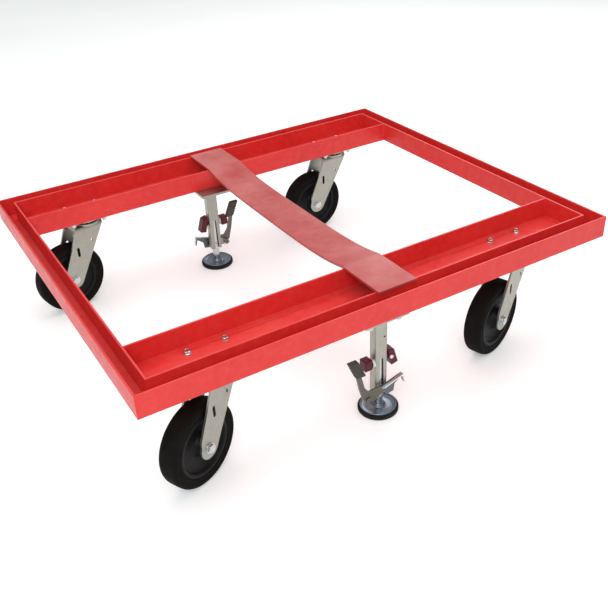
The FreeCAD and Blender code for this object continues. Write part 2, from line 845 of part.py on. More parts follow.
def pin_shape():
    """The rocker's pivot pin, pressed through the ear's boss, with a head at each end."""
    front_head = "pin_front - arm_inner - arm_thick - 0.3"
    boss_back = "(-tube_depth / 2 - ear_thick + boss_length)"
    return fuse(
        crosswise("pin_radius", f"pin_front + {boss_back} + 2", "-pivot_x", "-pin_front", "pivot_z"),
        crosswise("pin_head", front_head, "-pivot_x", "-pin_front", "pivot_z"),
        crosswise("pin_head", "2", "-pivot_x", boss_back, "pivot_z"),
    )


def bumper_shapes():
    """The two rubber blocks on the housing tube's sides, each on a short stub."""
    right_outline = [("18", "166"), ("35", "162"), ("47", "122"), ("29", "118")]
    right = fuse(
        profile("RightBlock", "XZ_Plane", right_outline, "block_width", symmetric=True),
        box("9", "stub_width", "12", "tube_width / 2", "-stub_width / 2", "136"),
    )
    left = fuse(
        box("20", "block_width", "26", "-tube_width / 2 - 27", "-block_width / 2", "127"),
        box("8", "stub_width", "10", "-tube_width / 2 - 8", "-stub_width / 2", "135"),
    )
    return [right, left]


def build_locks():
    pieces = {
        "plate": lock_plate_shape(),
        "tube": lock_tube_shape(),
        "plunger": plunger_shape(),
        "drive_pin": drive_pin_shape(),
        "foot_cup": foot_cup_shape(),
        "foot_pad": foot_pad_shape(),
        "spring": spring_shape(),
        "rocker": rocker_shape(),
        "pedal_pad": pedal_pad_shape(),
    }
    for side, (x, y, turn) in LOCKS.items():
        for piece, shape in pieces.items():
            copy = DOC.addObject("Part::Compound", "Lock")
            copy.Links = [shape]
            node(place(copy, str(x), str(y), "0", FreeCAD.Rotation(UP, turn)), f"{side}_lock_{piece}")
    shared = {"lock_bushes": [lock_bush_shape()], "rocker_pins": [pin_shape()], "lock_bumpers": bumper_shapes()}
    for name, shapes in shared.items():
        placed = []
        for x, y, turn in LOCKS.values():
            copy = DOC.addObject("Part::Compound", "Copy")
            copy.Links = shapes
            placed.append(place(copy, str(x), str(y), "0", FreeCAD.Rotation(UP, turn)))
        node(group(placed), name)


# ---------------------------------------------------------------- check and write

def check():
    for obj in DOC.Objects:
        if "Invalid" in obj.State or "Error" in obj.State:
            raise RuntimeError(f"{obj.Label} did not build: {obj.State}")
    for obj in NODES:
        if obj.Shape.isNull() or not obj.Shape.isValid() or not obj.Shape.Solids:
            raise RuntimeError(f"{obj.Label} has no valid solid")


def write():
    os.makedirs("parts", exist_ok=True)
    for obj in NODES:
        obj.Shape.exportStep(f"parts/{obj.Label}.step")


fill_sheet()
build_frame()
build_plate_fasteners()
build_casters()
build_locks()
DOC.recompute()
check()
write()
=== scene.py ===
"""Looks for the wheel dolly: materials, softened edges, welds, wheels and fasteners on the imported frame."""
import json
import math

import bmesh
import bpy
from mathutils import Matrix, Vector


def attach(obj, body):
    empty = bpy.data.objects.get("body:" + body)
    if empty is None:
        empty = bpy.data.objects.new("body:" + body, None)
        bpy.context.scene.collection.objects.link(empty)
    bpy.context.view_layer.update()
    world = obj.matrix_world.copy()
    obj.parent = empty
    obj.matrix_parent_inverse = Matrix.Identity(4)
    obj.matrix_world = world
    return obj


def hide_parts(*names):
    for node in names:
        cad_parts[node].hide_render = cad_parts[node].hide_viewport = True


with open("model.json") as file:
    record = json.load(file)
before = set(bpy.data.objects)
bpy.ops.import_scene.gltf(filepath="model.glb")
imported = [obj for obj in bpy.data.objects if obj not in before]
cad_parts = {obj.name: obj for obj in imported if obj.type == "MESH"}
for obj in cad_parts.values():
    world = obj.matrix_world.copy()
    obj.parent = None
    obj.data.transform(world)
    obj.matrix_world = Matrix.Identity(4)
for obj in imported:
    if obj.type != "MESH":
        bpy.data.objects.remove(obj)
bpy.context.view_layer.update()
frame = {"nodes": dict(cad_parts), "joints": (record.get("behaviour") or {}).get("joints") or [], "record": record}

MM = 0.001
NODES = frame["nodes"]
JOINTS = {joint["name"]: joint for joint in frame["joints"]}
SLOT_OF = {item["node"]: item["material_slot"] for item in frame["record"]["subparts"]}
CORNERS = ("front_left", "front_right", "rear_left", "rear_right")

# Sizes shared with the CAD frame, in metres.
HALF_LENGTH = 609.6 * MM
HALF_WIDTH = 508 * MM
RAIL_TOP = 320 * MM
RAIL_FLOOR = 266 * MM
WALL = 4.8 * MM
TROUGH = 36.5 * MM
CHANNEL_WIDTH = 127 * MM
STRAP_HALF = 50.8 * MM
PLATE_THICK = 6 * MM
LOCK_PLATE_THICK = 7 * MM
CASTER_SPOT = (406.4 * MM, 408 * MM)
CASTER_BOLTS = (42.5 * MM, 34.6 * MM)
LOCKS = {"front": (-40.6 * MM, -467.4 * MM, 0), "rear": (-40.6 * MM, 378.5 * MM, 180)}
TUBE_HALF = (16.5 * MM, 13.5 * MM)
LOCK_BOLTS = ((-38 * MM, -22 * MM), (-38 * MM, 18 * MM), (38 * MM, -22 * MM), (38 * MM, 18 * MM))


# ---------------------------------------------------------------- node materials

class Shader:
    """One procedural material on the Principled shader, in object coordinates (metres)."""

    def __init__(self, name, metallic=0.0):
        self.material = bpy.data.materials.new(name)
        self.material.use_nodes = True
        self.tree = self.material.node_tree
        self.main = self.tree.nodes["Principled BSDF"]
        self.main.inputs["Metallic"].default_value = metallic
        self.coords = self.tree.nodes.new("ShaderNodeTexCoord").outputs["Object"]

    def node(self, kind, **settings):
        made = self.tree.nodes.new("ShaderNode" + kind)
        for key, value in settings.items():
            setattr(made, key, value)
        return made

    def link(self, output, target):
        self.tree.links.new(output, target)

    def stretched(self, scale):
        mapping = self.node("Mapping")
        mapping.inputs["Scale"].default_value = scale
        self.link(self.coords, mapping.inputs["Vector"])
        return mapping.outputs["Vector"]

    def noise(self, scale, detail=3.0, roughness=0.55, coords=None):
        made = self.node("TexNoise")
        made.inputs["Scale"].default_value = scale
        made.inputs["Detail"].default_value = detail
        made.inputs["Roughness"].default_value = roughness
        self.link(coords or self.coords, made.inputs["Vector"])
        return made.outputs["Fac"]

    def voronoi(self, scale, feature="F1"):
        made = self.node("TexVoronoi", feature=feature)
        made.inputs["Scale"].default_value = scale
        self.link(self.coords, made.inputs["Vector"])
        return made.outputs["Distance"]

    def spread(self, fac, low, high, to_low=0.0, to_high=1.0):
        made = self.node("MapRange")
        for key, value in (("From Min", low), ("From Max", high), ("To Min", to_low), ("To Max", to_high)):
            made.inputs[key].default_value = value
        self.link(fac, made.inputs["Value"])
        return made.outputs["Result"]

    def math(self, operation, first, second):
        made = self.node("Math", operation=operation)
        for socket, value in zip(made.inputs, (first, second)):
            if isinstance(value, (int, float)):
                socket.default_value = value
            else:
                self.link(value, socket)
        return made.outputs["Value"]

    def blend(self, fac, first, second):
        """Colour mix; each colour is a triple or an output."""
        made = self.node("Mix", data_type="RGBA")
        if isinstance(fac, (int, float)):
            made.inputs[0].default_value = fac
        else:
            self.link(fac, made.inputs[0])
        for socket, value in ((made.inputs[6], first), (made.inputs[7], second)):
            if isinstance(value, tuple):
                socket.default_value = (*value, 1.0)
            else:
                self.link(value, socket)
        return made.outputs[2]

    def edges(self, radius, low=0.02, high=0.25):
        """Close to 1 on sharp convex and concave edges, 0 on flat faces."""
        bevel = self.node("Bevel", samples=6)
        bevel.inputs["Radius"].default_value = radius
        geometry = self.node("NewGeometry")
        dot = self.node("VectorMath", operation="DOT_PRODUCT")
        self.link(bevel.outputs["Normal"], dot.inputs[0])
        self.link(geometry.outputs["Normal"], dot.inputs[1])
        return self.spread(self.math("SUBTRACT", 1.0, dot.outputs["Value"]), low, high)

    def facing_up(self):
        geometry = self.node("NewGeometry")
        parts = self.node("SeparateXYZ")
        self.link(geometry.outputs["Normal"], parts.inputs[0])
        return self.spread(parts.outputs["Z"], 0.6, 0.95)

    def bump(self, layers):
        """layers: (height output, strength, distance), one on another."""
        normal = None
        for height, strength, distance in layers:
            made = self.node("Bump")
            made.inputs["Strength"].default_value = strength
            made.inputs["Distance"].default_value = distance
            self.link(height, made.inputs["Height"])
            if normal is not None:
                self.link(normal, made.inputs["Normal"])
            normal = made.outputs["Normal"]
        self.link(normal, self.main.inputs["Normal"])

    def set(self, **inputs):
        names = {"color": "Base Color", "roughness": "Roughness", "coat": "Coat Weight",
                 "coat_roughness": "Coat Roughness", "specular": "Specular IOR Level",
                 "sheen": "Sheen Weight",
                 "metallic": "Metallic"}
        for key, value in inputs.items():
            socket = self.main.inputs[names[key]]
            if isinstance(value, (int, float)):
                socket.default_value = value
            elif isinstance(value, tuple):
                socket.default_value = (*value, 1.0)
            else:
                self.link(value, socket)


def powder_coat(name, deep, plain, light, dust):
    """Sprayed red powder coat: orange peel, slow tone changes, paler edges that are partly wear and partly a
    painted highlight, and dust on what faces up, with a pale pink film there that is partly dust and partly
    painted sheen.
    """
    s = Shader(name)
    tone = s.spread(s.noise(5.0, 4.0), 0.3, 0.7)
    color = s.blend(tone, deep, plain)
    mottle = s.spread(s.noise(55.0, 5.0, 0.65), 0.42, 0.72, 0.0, 0.35)
    color = s.blend(mottle, color, light)
    specks = s.spread(s.noise(260.0, 2.0, 0.7), 0.62, 0.72, 0.0, 0.5)
    color = s.blend(s.math("MULTIPLY", specks, s.math("MULTIPLY", s.facing_up(), dust)), color,
                    (0.55, 0.32, 0.29))
    # Pale pink film on up-facing faces, set by the dust argument: partly dust, partly a painted sheen that
    # lightens the tops.
    dust_and_sheen_film = s.math("MULTIPLY", s.facing_up(), s.spread(s.noise(9.0, 5.0, 0.6), 0.35, 0.7, 0.0, dust))
    color = s.blend(dust_and_sheen_film, color, (0.60, 0.26, 0.24))
    # Paler colour along the edges: partly worn paint, partly a painted highlight.
    color = s.blend(s.math("MULTIPLY", s.edges(0.0022), 0.55), color, light)
    scuffs = s.spread(s.noise(30.0, 6.0, 0.7, s.stretched((1.0, 9.0, 1.0))), 0.66, 0.74, 0.0, 0.25)
    color = s.blend(s.math("MULTIPLY", scuffs, s.facing_up()), color, (0.62, 0.24, 0.22))
    rough = s.spread(s.noise(38.0, 4.0, 0.6), 0.3, 0.7, 0.33, 0.46)
    s.set(color=color, roughness=rough, coat=0.06, coat_roughness=0.3, specular=0.32)
    s.bump([(s.noise(620.0, 2.0, 0.5), 0.10, 0.0006), (s.noise(70.0, 2.0), 0.10, 0.0006)])
    return s.material


def plated(name, plain, warm, cool, rough_low, rough_high, streak=(1.0, 1.0, 14.0), cool_amount=0.5):
    """Zinc plate on pressed steel: a blue and yellow drift, drawing lines, cloudy dullness, and edges painted near
    white as a highlight.
    """
    s = Shader(name, metallic=1.0)
    color = s.blend(s.spread(s.noise(22.0, 4.0, 0.6), 0.35, 0.68), plain, warm)
    color = s.blend(s.spread(s.noise(31.0, 3.0, 0.5, s.stretched((1.3, 0.8, 1.0))),
                             0.48, 0.72, 0.0, cool_amount),
                    color, cool)
    spangle = s.spread(s.voronoi(420.0), 0.0, 0.7, 0.0, 0.28)
    color = s.blend(spangle, color, tuple(0.72 * c for c in plain))
    grime = s.spread(s.noise(120.0, 6.0, 0.7), 0.60, 0.78, 0.0, 0.45)
    color = s.blend(grime, color, (0.20, 0.19, 0.165))
    # Painted highlight: edges blended towards near white.
    color = s.blend(s.math("MULTIPLY", s.edges(0.0012), 0.5), color, (0.86, 0.87, 0.86))
    lines = s.noise(260.0, 3.0, 0.5, s.stretched(streak))
    rough = s.math("ADD", s.spread(s.noise(60.0, 5.0, 0.6), 0.3, 0.7, rough_low, rough_high),
                   s.math("MULTIPLY", grime, 0.3))
    s.set(color=color, roughness=rough)
    s.bump([(lines, 0.08, 0.0003), (s.noise(900.0, 2.0), 0.05, 0.0002)])
    return s.material


def rubber(name, plain, worn, rough=0.62, grain=800.0, dust=0.35, edge=0.35, specular=0.12):
    """Moulded rubber or nylon: fine grain, a grey bloom that follows the edges, and floor dust."""
    s = Shader(name)
    color = s.blend(s.spread(s.noise(28.0, 5.0, 0.6), 0.38, 0.7, 0.0, dust), plain, worn)
    color = s.blend(s.spread(s.noise(330.0, 3.0, 0.65), 0.60, 0.75, 0.0, 0.5 * dust), color,
                    tuple(min(1.0, 1.9 * c) for c in worn))
    color = s.blend(s.math("MULTIPLY", s.edges(0.0016), edge), color, worn)
    roughness = s.spread(s.noise(75.0, 4.0, 0.6), 0.3, 0.7, rough - 0.1, rough + 0.12)
    s.set(color=color, roughness=roughness, specular=specular)
    s.bump([(s.noise(grain, 3.0, 0.6), 0.16, 0.0004), (s.noise(45.0, 3.0), 0.12, 0.0008)])
    return s.material


RED = powder_coat("powder_red", (0.60, 0.020, 0.020), (0.68, 0.030, 0.026), (0.74, 0.075, 0.062), 0.10)
# The strap's dust amount of 0.40 makes the pale pink film on its top strong: partly dust, partly painted sheen.
STRAP_RED = powder_coat("strap_red", (0.37, 0.040, 0.040), (0.41, 0.050, 0.048), (0.47, 0.105, 0.100), 0.40)
ZINC = plated("zinc", (0.40, 0.41, 0.365), (0.42, 0.40, 0.33), (0.37, 0.41, 0.44), 0.34, 0.50,
              cool_amount=0.25)
BRIGHT = plated("bright_zinc", (0.60, 0.64, 0.68), (0.60, 0.60, 0.55), (0.40, 0.52, 0.70), 0.16, 0.30)
DARK_ZINC = plated("dark_zinc", (0.150, 0.143, 0.117), (0.175, 0.158, 0.117), (0.145, 0.152, 0.146),
                   0.34, 0.50)
# Dark bluish zinc for the step's web: painted shade.
PAINTED_SHADE_ZINC = plated("painted_shade_zinc", (0.14, 0.17, 0.20), (0.14, 0.155, 0.17), (0.11, 0.16, 0.23), 0.26, 0.40)
DISH_ZINC = plated("dish_zinc", (0.20, 0.26, 0.31), (0.22, 0.26, 0.29), (0.14, 0.27, 0.38), 0.28, 0.42)
# Near-white zinc: a painted highlight on the step's fold and the bumper screw, and the chrome of the stub coil.
CHROME_AND_HIGHLIGHT_ZINC = plated("chrome_and_highlight_zinc", (0.80, 0.82, 0.84), (0.78, 0.78, 0.74), (0.68, 0.74, 0.82), 0.34, 0.48)
STEEL = plated("steel", (0.42, 0.42, 0.42), (0.40, 0.38, 0.35), (0.38, 0.40, 0.44), 0.24, 0.38,
               cool_amount=0.2)
TYRE = rubber("tyre", (0.0058, 0.0055, 0.0047), (0.0130, 0.0122, 0.0108), 0.70, specular=0.05)
CORE = rubber("core", (0.0070, 0.0070, 0.0074), (0.018, 0.017, 0.017), 0.44, grain=500.0, dust=0.25)
RUBBER = rubber("rubber", (0.008, 0.008, 0.008), (0.028, 0.028, 0.028), 0.60)
MAROON = rubber("maroon", (0.075, 0.003, 0.010), (0.13, 0.014, 0.026), 0.36, grain=400.0, dust=0.2,
                specular=0.28)
GREY = rubber("grey_rubber", (0.060, 0.055, 0.046), (0.13, 0.122, 0.104), 0.62, dust=0.6, edge=0.6)
MATERIALS = {"powder_red": RED, "strap_red": STRAP_RED, "zinc": ZINC, "bright_zinc": BRIGHT, "steel": STEEL,
             "tyre": TYRE, "core": CORE, "rubber": RUBBER, "maroon": MAROON, "grey_rubber": GREY,
             "bush": CORE}


# ---------------------------------------------------------------- carried-over CAD nodes

EDGE_WIDTH = {"powder_red": 0.9 * MM, "strap_red": 0.9 * MM, "zinc": 0.5 * MM, "grey_rubber": 0.9 * MM,
              "maroon": 2.2 * MM}


def soften(obj, width):
    """Small rounded edges on a CAD node, as modifiers; its own vertices stay."""
    weld = obj.modifiers.new("Weld", "WELD")
    weld.merge_threshold = 0.00001
    bevel = obj.modifiers.new("Edges", "BEVEL")
    bevel.width = width
    bevel.segments = 3
    bevel.limit_method = "ANGLE"
    bevel.angle_limit = math.radians(38)
    bevel.use_clamp_overlap = True
    bevel.harden_normals = True


for node_name, node_object in NODES.items():
    node_slot = SLOT_OF[node_name]
    node_object.data.materials.clear()
    dull = node_name.endswith("_rocker") or node_name == "rocker_pins"
    node_object.data.materials.append(DARK_ZINC if dull else MATERIALS[node_slot])
    if node_slot in EDGE_WIDTH:
        soften(node_object, EDGE_WIDTH[node_slot])


# ---------------------------------------------------------------- mesh tools

def round_corners(points, radii, steps=5):
    """A closed outline with each corner replaced by a smooth turn; radii matches points, 0 keeps a corner."""
    rounded = []
    count = len(points)
    for k in range(count):
        corner = Vector(points[k])
        radius = radii[k] if isinstance(radii, (list, tuple)) else radii
        if not radius:
            rounded.append(tuple(corner))
            continue
        before = Vector(points[k - 1]) - corner
        after = Vector(points[(k + 1) % count]) - corner
        reach = min(radius, 0.48 * before.length, 0.48 * after.length)
        start = corner + before.normalized() * reach
        end = corner + after.normalized() * reach
        for j in range(steps + 1):
            t = j / steps
            rounded.append(tuple((1 - t) ** 2 * start + 2 * t * (1 - t) * corner + t ** 2 * end))
    return rounded


def along(position, axis):
    """A placement whose +Z points along axis."""
    return Matrix.Translation(Vector(position)) @ Vector(axis).to_track_quat("Z", "Y").to_matrix().to_4x4()


def turned(bm, placement, profile, segments=96):
    """Revolves a closed (radius, height) outline round the placement's Z."""
    rings = []
    for k in range(segments):
        angle = 2 * math.pi * k / segments
        ring = [bm.verts.new(placement @ Vector((r * math.cos(angle), r * math.sin(angle), h)))
                for r, h in profile]
        rings.append(ring)
    count = len(profile)
    for k in range(segments):
        here, there = rings[k], rings[(k + 1) % segments]
        for j in range(count):
            bm.faces.new((here[j], there[j], there[(j + 1) % count], here[(j + 1) % count]))


def prism(bm, placement, outline, low, high):
    """Straight solid: an (x, y) outline between two heights on the placement's Z."""
    bottom = [bm.verts.new(placement @ Vector((x, y, low))) for x, y in outline]
    top = [bm.verts.new(placement @ Vector((x, y, high))) for x, y in outline]
    bm.faces.new(reversed(bottom))
    bm.faces.new(top)
    for k in range(len(outline)):
        j = (k + 1) % len(outline)
        bm.faces.new((bottom[k], bottom[j], top[j], top[k]))


def hexagon(bm, placement, flats, height, bore=0.0, low_chamfer=False):
    """A hexagon head or nut, its corners turned off at the top, and also at the bottom of a nut."""
    apothem = flats / 2
    sides = 48
    rings = []
    inner = max(bore, 0.0)
    for k in range(sides):
        angle = 2 * math.pi * k / sides
        reach = apothem / math.cos((angle % (math.pi / 3)) - math.pi / 6)
        drop = max(0.0, reach - 0.97 * apothem) * 0.577
        low = drop if low_chamfer else 0.0
        shape = [(0.97 * apothem if low_chamfer else reach, 0.0), (reach, low), (reach, height - drop),
                 (0.95 * apothem, height)]
        if inner:
            shape += [(inner + 0.0006, height), (inner, height - 0.0006), (inner, 0.0)]
        else:
            shape += [(0.78 * apothem, height), (0.70 * apothem, height - 0.0004), (0.0002, height - 0.0004),
                      (0.0002, 0.0)]
        rings.append([bm.verts.new(placement @ Vector((r * math.cos(angle), r * math.sin(angle), h)))
                      for r, h in shape])
    count = len(rings[0])
    for k in range(sides):
        here, there = rings[k], rings[(k + 1) % sides]
        for j in range(count):
            bm.faces.new((here[j], there[j], there[(j + 1) % count], here[(j + 1) % count]))


def thread(bm, placement, radius, low, high, pitch=0.0015, segments=32):
    """A bolt's threaded end, as closely spaced ridges with a chamfered tip at low."""
    profile = [(0.0002, low), (radius * 0.75, low), (radius * 0.9, low + 0.0008)]
    height = low + 0.0012
    while height + pitch < high:
        profile += [(radius, height + 0.25 * pitch), (radius * 0.90, height + 0.75 * pitch)]
        height += pitch
    profile += [(radius, high), (0.0002, high)]
    turned(bm, placement, profile, segments)


def bead(bm, start, end, out, radius=0.0026, pitch=0.0019):
    """A weld bead with overlapping ripples and tapered ends; out points away from the corner it fills."""
    start, end, out = Vector(start), Vector(end), Vector(out).normalized()
    run = end - start
    side = run.normalized().cross(out)
    count = max(6, int(run.length / (pitch / 4)))
    points = 9
    rings = []
    for k in range(count + 1):
        t = k / count
        ripple = 0.86 + 0.14 * abs(math.sin(math.pi * t * run.length / pitch))
        wander = 1.0 + 0.07 * math.sin(41.0 * t * run.length / 0.02) * math.sin(7.3 * t + start.x * 9.0)
        taper = min(1.0, math.sqrt(max(0.0, min(t, 1 - t) * run.length / (1.6 * radius)) + 0.02))
        size = radius * ripple * wander * taper
        centre = start + run * t
        ring = []
        for j in range(points):
            angle = 2 * math.pi * j / points
            ring.append(bm.verts.new(centre + out * (size * 0.8 * math.cos(angle))
                                     + side * (size * math.sin(angle))))
        rings.append(ring)
    for k in range(count):
        for j in range(points):
            i = (j + 1) % points
            bm.faces.new((rings[k][j], rings[k][i], rings[k + 1][i], rings[k + 1][j]))
    bm.faces.new(reversed(rings[0]))
    bm.faces.new(rings[-1])


def piece(name, bm, material, body, replaces=(), sharp=32, bevel=0.0):
    """Finishes a mesh as a piece of the object that rides on a body."""
    bmesh.ops.recalc_face_normals(bm, faces=bm.faces)
    mesh = bpy.data.meshes.new(name)
    bm.to_mesh(mesh)
    bm.free()
    mesh.materials.append(material)
    mesh.shade_smooth()
    mesh.set_sharp_from_angle(angle=math.radians(sharp))
    obj = bpy.data.objects.new(name, mesh)
    bpy.context.scene.collection.objects.link(obj)
    if bevel:
        soften(obj, bevel)
    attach(obj, body)
    if replaces:
        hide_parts(*replaces)
    return obj


# ---------------------------------------------------------------- fasteners

def plate_spots():
    """Where each plate bolt stands, and the thickness of the plate it holds."""
    spots = []
    for side_x in (-1, 1):
        for side_y in (-1, 1):
            for bolt_x in (-1, 1):
                for bolt_y in (-1, 1):
                    spots.append((side_x * CASTER_SPOT[0] + bolt_x * CASTER_BOLTS[0],
                                  side_y * CASTER_SPOT[1] + bolt_y * CASTER_BOLTS[1], PLATE_THICK))
    for x, y, turn in LOCKS.values():
        flip = -1 if turn else 1
        spots += [(x + flip * bolt_x, y + flip * bolt_y, LOCK_PLATE_THICK) for bolt_x, bolt_y in LOCK_BOLTS]
    return spots


def build_plate_fasteners():
    """Hexagon bolts with a washer face on the rails' floors, and chamfered nuts below the plates."""
    seat = RAIL_FLOOR + WALL
    bolts, nuts = bmesh.new(), bmesh.new()
    for k, (x, y, plate) in enumerate(plate_spots()):
        nut_top = RAIL_FLOOR - plate
        spin = Matrix.Rotation(0.7 * k, 4, "Z")
        place = Matrix.Translation((x, y, seat)) @ spin
        turned(bolts, place, [(0.0002, 0), (9.0 * MM, 0), (9.2 * MM, 0.3 * MM), (9.2 * MM, 1.1 * MM),
                              (8.8 * MM, 1.4 * MM), (0.0002, 1.4 * MM)], 40)
        hexagon(bolts, place @ Matrix.Translation((0, 0, 1.4 * MM)), 14.3 * MM, 5.4 * MM)
        turned(bolts, place, [(0.0002, -24 * MM), (4.75 * MM, -24 * MM), (4.75 * MM, 0), (0.0002, 0)], 24)
        low = Matrix.Translation((x, y, nut_top)) @ spin
        thread(bolts, low, 4.75 * MM, -11 * MM, -7.6 * MM)
        hexagon(nuts, low @ Matrix.Translation((0, 0, -8 * MM)), 14.3 * MM, 8 * MM, 4.8 * MM,
                low_chamfer=True)
    piece("plate_bolt_set", bolts, BRIGHT, "frame", ["plate_bolts"])
    piece("plate_nut_set", nuts, BRIGHT, "frame", ["plate_nuts"])


# ---------------------------------------------------------------- wheels and axles

TYRE_PROFILE = [(72, 20.8), (75, 21.8), (77.5, 22.2), (79, 21.3), (81, 21.1), (83.2, 22.4), (86.4, 23.4),
                (90.6, 22.8), (94.3, 19.9), (96.4, 15.6), (97, 9.5), (97, 0)]
CORE_PROFILE = [(6.2, 28.4), (13, 28.4), (15, 27.4), (20, 27.0), (22.5, 25.5), (24.5, 18), (28, 12),
                (34, 9.2),
                (46, 8.6), (56.5, 9.6), (61.3, 13.2), (63.3, 18.6), (65.4, 20.6), (68.4, 21), (72, 20.6)]


def mirrored(half):
    """A closed (radius, height) outline in metres from its upper half in millimetres."""
    upper = [(r * MM, h * MM) for r, h in half]
    lower = [(r, -h) for r, h in reversed(upper) if h]
    return upper + lower


def build_wheels():
    for corner in CORNERS:
        spin = JOINTS[f"{corner}_wheel_spin"]
        axis = Vector(spin["axis"])
        centre = Vector(spin["pos_m"])
        place = along(centre, axis)

        tyre = bmesh.new()
        turned(tyre, place, round_corners(mirrored(TYRE_PROFILE), 1.6 * MM, 3), 128)
        piece(f"{corner}_tread", tyre, TYRE, f"{corner}_wheel", [f"{corner}_tyre"], sharp=60)

        core = bmesh.new()
        turned(core, place, round_corners(mirrored(CORE_PROFILE), 1.5 * MM, 3), 112)
        piece(f"{corner}_hub", core, CORE, f"{corner}_wheel", [f"{corner}_wheel_core"], sharp=50)

        bolt = bmesh.new()
        head = along(centre - axis * 33.5 * MM, -axis)
        turned(bolt, head, [(0.0002, 0), (12.3 * MM, 0), (12.5 * MM, 0.4 * MM), (12.3 * MM, 1.6 * MM),
                            (11 * MM, 2 * MM), (0.0002, 2 * MM)], 48)
        hexagon(bolt, head @ Matrix.Translation((0, 0, 2 * MM)), 19 * MM, 4.6 * MM)
        turned(bolt, along(centre - axis * 33.5 * MM, axis), [(0.0002, 0), (6 * MM, 0), (6 * MM, 78 * MM),
                                                             (0.0002, 78 * MM)], 32)
        thread(bolt, along(centre + axis * 49.5 * MM, -axis), 6 * MM, 0, 5 * MM)
        piece(f"{corner}_axle_screw", bolt, BRIGHT, f"{corner}_swivel",
              [f"{corner}_axle_bolt"])

        nut = bmesh.new()
        foot = along(centre + axis * 33.5 * MM, axis)
        turned(nut, foot, [(6.1 * MM, 0), (12.3 * MM, 0), (12.5 * MM, 0.4 * MM), (12.3 * MM, 1.7 * MM),
                           (11 * MM, 2.2 * MM), (6.1 * MM, 2.2 * MM)], 48)
        hexagon(nut, foot @ Matrix.Translation((0, 0, 2.2 * MM)), 19 * MM, 8.4 * MM, 6.1 * MM)
        piece(f"{corner}_lock_nut", nut, BRIGHT, f"{corner}_swivel", [f"{corner}_axle_nut"])


# ---------------------------------------------------------------- floor-lock feet

def build_feet():
    for side, (x, y, _) in LOCKS.items():
        body = f"{side}_lock_foot"
        place = Matrix.Translation((x, y, 0))
        cup = bmesh.new()
        profile = [(10.2, 9.9), (10.2, 19.1), (11.4, 19.2), (12.8, 17.9), (13.6, 15.5), (15.0, 13.0),
                   (19.0, 11.2),
                   (29, 10.4), (30, 9.7), (33, 9.7), (34, 10.6), (38.4, 11.2), (40.2, 13.2), (40.8, 15.2),
                   (42.4, 15.2), (43, 13.6), (43, 7), (16, 7)]
        turned(cup, place, round_corners([(r * MM, h * MM) for r, h in profile], 0.8 * MM, 3), 96)
        piece(f"{side}_foot_dish", cup, DISH_ZINC, body, [f"{side}_lock_foot_cup"], sharp=50)
        pad = bmesh.new()
        profile = [(0.2, 0), (44.5, 0), (45.2, 1.1), (46.2, 0.2), (47.2, 1.6), (47.8, 4.5), (47.6, 9.6),
                   (46.4, 11.8),
                   (43.9, 12), (43, 10.8), (43, 7), (0.2, 7)]
        turned(pad, place, round_corners([(r * MM, h * MM) for r, h in profile], 0.7 * MM, 3), 96)
        piece(f"{side}_foot_ring", pad, RUBBER, body, [f"{side}_lock_foot_pad"], sharp=60)


# ---------------------------------------------------------------- welds

def build_welds():
    """Painted beads where the rails, channels and strap meet, and bare ones under the lock plates."""
    painted = bmesh.new()
    inner_x = HALF_LENGTH - TROUGH - WALL
    outer_y = HALF_WIDTH - TROUGH
    inner_y = outer_y - CHANNEL_WIDTH
    floor = RAIL_FLOOR + WALL
    for sx in (-1, 1):
        for sy in (-1, 1):
            x = sx * inner_x
            bead(painted, (x, sy * (inner_y + WALL), floor + 1 * MM),
                 (x, sy * (outer_y - WALL), floor + 1 * MM), (-sx, 0, 1))
            for y, face in ((inner_y + WALL, 1), (outer_y - WALL, -1), (inner_y, -1)):
                bead(painted, (x, sy * y, floor + 2 * MM), (x, sy * y, RAIL_TOP - 2 * MM),
                     (-sx, sy * face, 0))
            corner = Vector((sx * (HALF_LENGTH - WALL), sy * (HALF_WIDTH - WALL), 0))
            bead(painted, corner + Vector((0, 0, floor + 1 * MM)), corner + Vector((0, 0, RAIL_TOP - 2 * MM)),
                 (-sx, -sy, 0))
            bead(painted, (sx * (HALF_LENGTH - WALL), sy * (HALF_WIDTH - WALL), floor),
                 (sx * (HALF_LENGTH - TROUGH), sy * outer_y, floor), (0, 0, 1), 0.0022)
    for sy in (-1, 1):
        for sx in (-1, 1):
            x = sx * STRAP_HALF
            for y in (outer_y - WALL / 2, inner_y + WALL / 2):
                bead(painted, (x + sx * 1 * MM, sy * y - 2.2 * MM, RAIL_TOP + 0.4 * MM),
                     (x + sx * 1 * MM, sy * y + 2.2 * MM, RAIL_TOP + 0.4 * MM), (sx, 0, 1), 0.0024)
        for x0 in (-44, -8, 28):
            bead(painted, (x0 * MM, sy * (inner_y - 0.6 * MM), RAIL_TOP - 0.5 * MM),
                 ((x0 + 18) * MM, sy * (inner_y - 0.6 * MM), RAIL_TOP - 0.5 * MM), (0, -sy, -1), 0.0024)
    piece("frame_welds", painted, RED, "frame", sharp=70)

    bare = bmesh.new()
    top = RAIL_FLOOR - LOCK_PLATE_THICK
    for x, y, turn in LOCKS.values():
        half_x, half_y = TUBE_HALF
        reach = 8.5 * MM
        for sx, sy in ((1, 0), (-1, 0), (0, 1), (0, -1)):
            middle = Vector((x + sx * (half_x + 0.6 * MM), y + sy * (half_y + 0.6 * MM), top - 0.8 * MM))
            run = Vector((sy * reach, sx * reach, 0))
            bead(bare, middle - run, middle + run, (sx, sy, -1), 0.0028)
        flip = -1 if turn else 1
        seam_x = x - flip * 8 * MM
        seam_y = y - flip * (half_y + 2.6 * MM)
        bead(bare, (seam_x, seam_y, 61 * MM), (seam_x, seam_y, 77 * MM), (0, -flip, 0), 0.0011)
    piece("lock_welds", bare, STEEL, "frame", sharp=70)


# ---------------------------------------------------------------- floor-lock details

